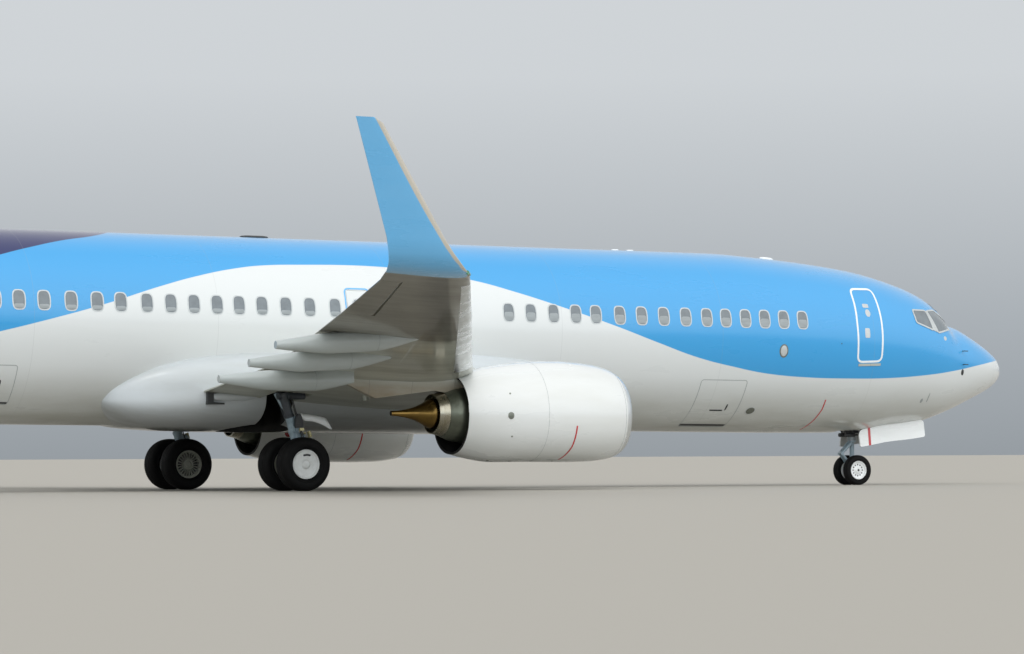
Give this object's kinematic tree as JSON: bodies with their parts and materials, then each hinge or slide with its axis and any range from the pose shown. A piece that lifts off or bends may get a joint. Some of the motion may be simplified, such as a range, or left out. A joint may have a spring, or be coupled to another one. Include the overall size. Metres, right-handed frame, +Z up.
{
  "type": "narrow-body twin-jet airliner",
  "caption": "Narrow-body airliner with a low swept wing, upturned wingtips, underwing engines, steerable nose gear, twin main wheels and moving control surfaces.",
  "frame": {"origin": "on the ground, under the middle of the overall length, on the plane of symmetry", "axes": "+X towards the nose along the ground, +Y towards the left wingtip, +Z up"},
  "size_m": [39.3708, 35.8216, 12.5875],
  "materials": {
    "white_paint": "gloss",
    "light_blue_paint": "gloss",
    "navy_paint": "gloss",
    "grey_paint": "satin",
    "bare_metal": "polished",
    "exhaust_metal": "satin",
    "exhaust_bronze": "satin",
    "fan_metal": "satin",
    "gear_paint": "satin",
    "wheel_paint": "satin",
    "tyre": "matt"
  },
  "bodies": {
    "airframe": {"aft_section": "navy_paint", "belly_fairing": "white_paint", "centre_section": "white_paint", "engine_core_left": "exhaust_metal", "engine_core_right": "exhaust_metal", "exhaust_nozzle_left": "bare_metal", "exhaust_nozzle_right": "bare_metal", "exhaust_plug_left": "exhaust_bronze", "exhaust_plug_right": "exhaust_bronze", "fin": "navy_paint", "flap_inboard_left": "grey_paint", "flap_inboard_right": "grey_paint", "flap_outboard_left": "grey_paint", "flap_outboard_right": "grey_paint", "main_leg_door_left": "white_paint", "main_leg_door_right": "white_paint", "main_leg_left": "gear_paint", "main_leg_right": "gear_paint", "nacelle_left": "white_paint", "nacelle_right": "white_paint", "nose_door_left": "white_paint", "nose_door_right": "white_paint", "nose_leg": "gear_paint", "nose_section": "white_paint", "pylon_left": "grey_paint", "pylon_right": "grey_paint", "radome": "white_paint", "slat_left": "bare_metal", "slat_right": "bare_metal", "tail_cone": "navy_paint", "tailplane_left": "white_paint", "tailplane_right": "white_paint", "wing_left": "grey_paint", "wing_right": "grey_paint", "winglet_left": "light_blue_paint", "winglet_right": "light_blue_paint"},
    "exit_fore_left": {"exit_fore_left": "white_paint"},
    "exit_fore_right": {"exit_fore_right": "white_paint"},
    "exit_aft_left": {"exit_aft_left": "white_paint"},
    "exit_aft_right": {"exit_aft_right": "white_paint"},
    "aileron_left": {"aileron_left": "grey_paint"},
    "aileron_right": {"aileron_right": "grey_paint"},
    "elevator_left": {"elevator_left": "white_paint"},
    "elevator_right": {"elevator_right": "white_paint"},
    "rudder": {"rudder": "navy_paint"},
    "fan_left": {"fan_left": "fan_metal"},
    "fan_right": {"fan_right": "fan_metal"},
    "main_wheels_left": {"main_left_hubs": "wheel_paint", "main_left_tyre_outer": "tyre", "main_left_tyre_inner": "tyre"},
    "main_wheels_right": {"main_right_hubs": "wheel_paint", "main_right_tyre_outer": "tyre", "main_right_tyre_inner": "tyre"},
    "steered_leg": {"nose_fork": "gear_paint"},
    "nose_wheels": {"nose_hubs": "wheel_paint", "nose_tyre_left": "tyre", "nose_tyre_right": "tyre"}
  },
  "joints": [
    {"name": "exit_hinge_fore_left", "type": "hinge", "parent": "airframe", "child": "exit_fore_left", "pos_m": [2.94774, 1.72673, 4.17353], "axis": [0.9999, 0, -0.0105], "range_deg": [0, 110]},
    {"name": "exit_hinge_fore_right", "type": "hinge", "parent": "airframe", "child": "exit_fore_right", "pos_m": [2.94774, -1.72673, 4.17353], "axis": [-0.9999, 0, 0.0105], "range_deg": [0, 110]},
    {"name": "exit_hinge_aft_left", "type": "hinge", "parent": "airframe", "child": "exit_aft_left", "pos_m": [1.91779, 1.72673, 4.18432], "axis": [0.9999, 0, -0.0105], "range_deg": [0, 110]},
    {"name": "exit_hinge_aft_right", "type": "hinge", "parent": "airframe", "child": "exit_aft_right", "pos_m": [1.91779, -1.72673, 4.18432], "axis": [-0.9999, 0, 0.0105], "range_deg": [0, 110]},
    {"name": "aileron_hinge_left", "type": "hinge", "parent": "airframe", "child": "aileron_left", "pos_m": [-2.99638, 12.35, 3.327], "axis": [-0.3372, 0.9357, 0.1038], "range_deg": [-20, 20]},
    {"name": "aileron_hinge_right", "type": "hinge", "parent": "airframe", "child": "aileron_right", "pos_m": [-2.99638, -12.35, 3.327], "axis": [-0.3372, -0.9357, 0.1038], "range_deg": [-20, 20]},
    {"name": "elevator_hinge_left", "type": "hinge", "parent": "airframe", "child": "elevator_left", "pos_m": [-16.71338, 0.98, 4.70599], "axis": [-0.339, 0.9342, 0.1109], "range_deg": [-22, 22]},
    {"name": "elevator_hinge_right", "type": "hinge", "parent": "airframe", "child": "elevator_right", "pos_m": [-16.71338, -0.98, 4.70599], "axis": [-0.339, -0.9342, 0.1109], "range_deg": [-22, 22]},
    {"name": "rudder_hinge", "type": "hinge", "parent": "airframe", "child": "rudder", "pos_m": [-15.79983, 0, 5.30641], "axis": [-0.4059, 0, 0.9139], "range_deg": [-29, 29]},
    {"name": "fan_axis_left", "type": "hinge", "parent": "airframe", "child": "fan_left", "pos_m": [5.37013, 4.83, 1.52452], "axis": [0.9999, 0, -0.0105], "continuous": true},
    {"name": "fan_axis_right", "type": "hinge", "parent": "airframe", "child": "fan_right", "pos_m": [5.37013, -4.83, 1.52452], "axis": [0.9999, 0, -0.0105], "continuous": true},
    {"name": "main_axle_left", "type": "hinge", "parent": "airframe", "child": "main_wheels_left", "pos_m": [0.06388, 2.86, 0.54619], "axis": [0, 1, 0], "continuous": true},
    {"name": "main_axle_right", "type": "hinge", "parent": "airframe", "child": "main_wheels_right", "pos_m": [0.06388, -2.86, 0.54619], "axis": [0, 1, 0], "continuous": true},
    {"name": "nose_steering", "type": "hinge", "parent": "airframe", "child": "steered_leg", "pos_m": [15.63473, 0, 0.33641], "axis": [0, 0, 1], "range_deg": [-78, 78]},
    {"name": "nose_axle", "type": "hinge", "parent": "steered_leg", "child": "nose_wheels", "pos_m": [15.63473, 0, 0.33641], "axis": [0, 1, 0], "continuous": true}
  ],
  "couplings": [
    {"joint": "elevator_hinge_right", "follows": "elevator_hinge_left", "ratio": -1},
    {"joint": "aileron_hinge_right", "follows": "aileron_hinge_left", "ratio": 1}
  ]
}
